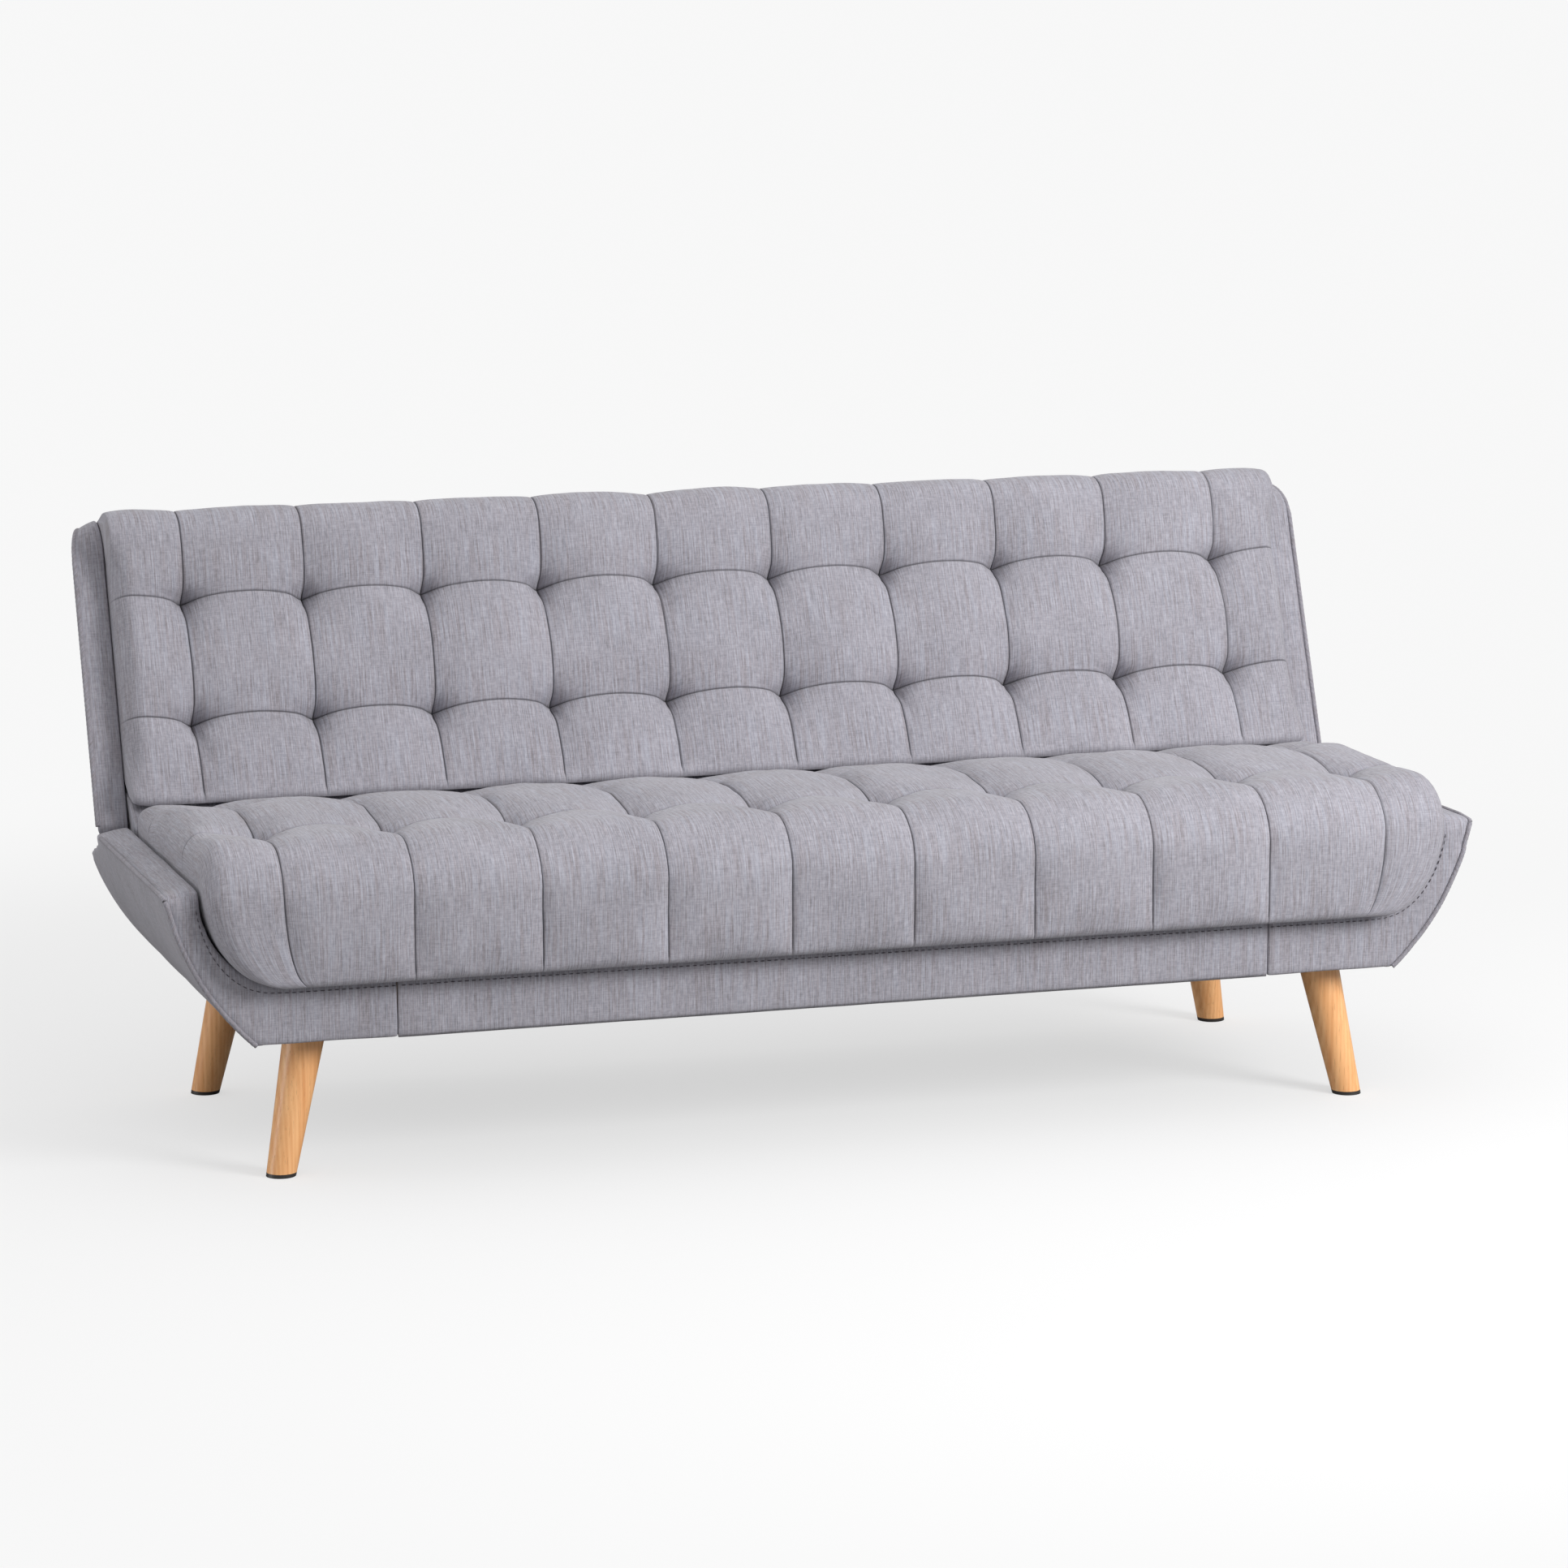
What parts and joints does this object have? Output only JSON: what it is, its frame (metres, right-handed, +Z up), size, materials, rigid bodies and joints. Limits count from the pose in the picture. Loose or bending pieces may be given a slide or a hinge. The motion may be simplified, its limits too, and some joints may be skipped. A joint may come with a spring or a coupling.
{
  "type": "futon sofa bed",
  "caption": "Tufted fabric sofa bed on splayed wooden legs; the backrest reclines on click-clack hinges until it lies level with the seat.",
  "frame": {"origin": "on the floor under the middle of the whole sofa with its backrest up", "axes": "+Z up, the front faces -Y, +X to the right seen from the front"},
  "size_m": [1.8, 0.768, 0.7942],
  "materials": {
    "upholstery": "matte",
    "piping": "matte",
    "rear_cloth": "matte",
    "dust_cloth": "matte",
    "foam": "matte",
    "felt": "matte",
    "leg_wood": "satin",
    "frame_wood": "matte",
    "foot_plastic": "matte",
    "zinc_steel": "satin",
    "spring_steel": "satin"
  },
  "bodies": {
    "seat": {"corner_blocks": "frame_wood", "dust_cover": "dust_cloth", "front_band": "upholstery", "front_left_foot_pad": "foot_plastic", "front_left_leg": "leg_wood", "front_right_foot_pad": "foot_plastic", "front_right_leg": "leg_wood", "hanger_bolts": "zinc_steel", "left_pawl_pin": "zinc_steel", "left_pivot_pin": "zinc_steel", "left_pivot_washer": "zinc_steel", "left_seat_end_rail": "frame_wood", "left_seat_hinge_plate": "zinc_steel", "left_seat_piping": "piping", "left_wing": "upholstery", "leg_plate_screws": "zinc_steel", "leg_plates": "zinc_steel", "rear_left_foot_pad": "foot_plastic", "rear_left_leg": "leg_wood", "rear_right_foot_pad": "foot_plastic", "rear_right_leg": "leg_wood", "right_pawl_pin": "zinc_steel", "right_pivot_pin": "zinc_steel", "right_pivot_washer": "zinc_steel", "right_seat_end_rail": "frame_wood", "right_seat_hinge_plate": "zinc_steel", "right_seat_piping": "piping", "right_wing": "upholstery", "seat_cross_rails": "frame_wood", "seat_cushion": "upholstery", "seat_felt": "felt", "seat_foam": "foam", "seat_front_rail": "frame_wood", "seat_hinge_bolts": "zinc_steel", "seat_rear_panel": "rear_cloth", "seat_rear_rail": "frame_wood", "seat_springs": "spring_steel"},
    "backrest": {"back_bottom_rail": "frame_wood", "back_cushion": "upholstery", "back_felt": "felt", "back_foam": "foam", "back_hinge_bolts": "zinc_steel", "back_mid_stiles": "frame_wood", "back_rear_panel": "rear_cloth", "back_springs": "spring_steel", "back_top_rail": "frame_wood", "left_back_hinge_arm": "zinc_steel", "left_back_piping": "piping", "left_back_side_border": "upholstery", "left_back_stile": "frame_wood", "right_back_hinge_arm": "zinc_steel", "right_back_piping": "piping", "right_back_side_border": "upholstery", "right_back_stile": "frame_wood"},
    "left_pawl": {"left_pawl": "zinc_steel"},
    "right_pawl": {"right_pawl": "zinc_steel"}
  },
  "joints": [
    {"name": "backrest_recline", "type": "hinge", "parent": "seat", "child": "backrest", "pos_m": [0, 0.2015, 0.3], "axis": [-1, 0, 0], "range_deg": [-6, 69]},
    {"name": "left_pawl_swing", "type": "hinge", "parent": "seat", "child": "left_pawl", "pos_m": [-0.779, 0.16303, 0.24343], "axis": [-1, 0, 0], "range_deg": [0, 12]},
    {"name": "right_pawl_swing", "type": "hinge", "parent": "seat", "child": "right_pawl", "pos_m": [0.779, 0.16303, 0.24343], "axis": [-1, 0, 0], "range_deg": [0, 12]}
  ]
}
